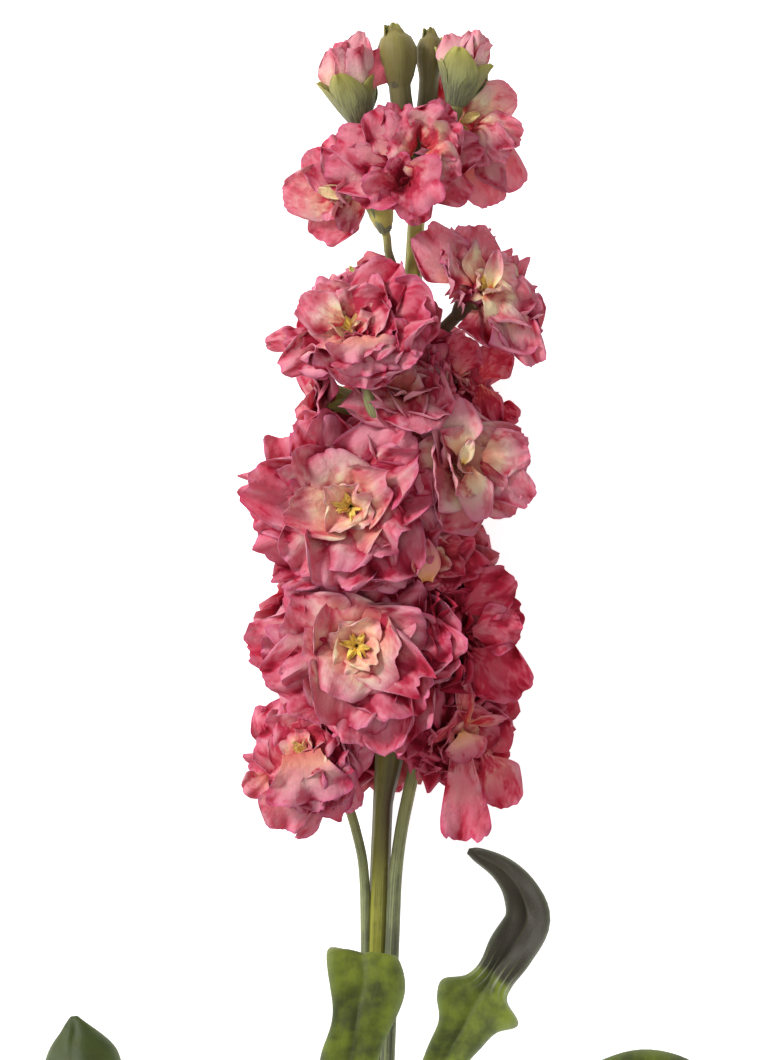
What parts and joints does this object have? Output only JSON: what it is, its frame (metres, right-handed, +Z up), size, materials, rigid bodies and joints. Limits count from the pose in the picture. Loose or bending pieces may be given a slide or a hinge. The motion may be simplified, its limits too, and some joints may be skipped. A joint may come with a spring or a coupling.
{
  "type": "cut stock flower stem",
  "caption": "Cut stem of double stock laid on a surface: a spike of ruffled rose-pink florets with buds at its tip, on a leafy green stem.",
  "frame": {"origin": "centre of the footprint of the flower's box, on the surface it lies on", "axes": "+Y along the stem towards the flower's tip, +Z up from the surface, +X to the right seen from above with the tip at the top"},
  "size_m": [0.1502, 0.3308, 0.0595],
  "materials": {
    "petals": "soft velvety petal, rose pink with a cream heart",
    "stalk": "satin green stalk and sepals, flushed purple",
    "bud": "downy grey-green bud",
    "stem": "satin green stem, finely ridged",
    "leaf": "matt downy leaf"
  },
  "bodies": {
    "root": {"bud_left_calyx": "bud", "bud_left_petals": "petals", "bud_middle_left_calyx": "bud", "bud_middle_right_calyx": "bud", "bud_right_calyx": "bud", "bud_right_petals": "petals", "bud_small_calyx": "bud", "crown_front_petals": "petals", "crown_front_stalk": "stalk", "crown_left_petals": "petals", "crown_left_stalk": "stalk", "crown_right_petals": "petals", "crown_right_stalk": "stalk", "leaf_behind_left": "leaf", "leaf_curled": "leaf", "leaf_far_left": "leaf", "leaf_far_right": "leaf", "leaf_front": "leaf", "leaf_low_left": "leaf", "leaf_low_right": "leaf", "lower_front_petals": "petals", "lower_front_stalk": "stalk", "lower_left_petals": "petals", "lower_left_stalk": "stalk", "lower_right_petals": "petals", "lower_right_stalk": "stalk", "main_stem": "stem", "middle_front_petals": "petals", "middle_front_stalk": "stalk", "middle_right_petals": "petals", "middle_right_stalk": "stalk", "middle_small_petals": "petals", "middle_small_stalk": "stalk", "middle_top_petals": "petals", "middle_top_stalk": "stalk", "right_shaded_petals": "petals", "right_shaded_stalk": "stalk", "side_lower_petals": "petals", "side_lower_stalk": "stalk", "side_upper_petals": "petals", "side_upper_stalk": "stalk", "under_crown_petals": "petals", "under_crown_stalk": "stalk", "under_left_petals": "petals", "under_left_stalk": "stalk", "under_lower_petals": "petals", "under_lower_stalk": "stalk", "under_middle_petals": "petals", "under_middle_stalk": "stalk", "under_right_petals": "petals", "under_right_stalk": "stalk", "under_upper_petals": "petals", "under_upper_stalk": "stalk", "upper_left_petals": "petals", "upper_left_stalk": "stalk", "upper_right_petals": "petals", "upper_right_stalk": "stalk", "upper_shaded_petals": "petals", "upper_shaded_stalk": "stalk"}
  },
  "joints": []
}
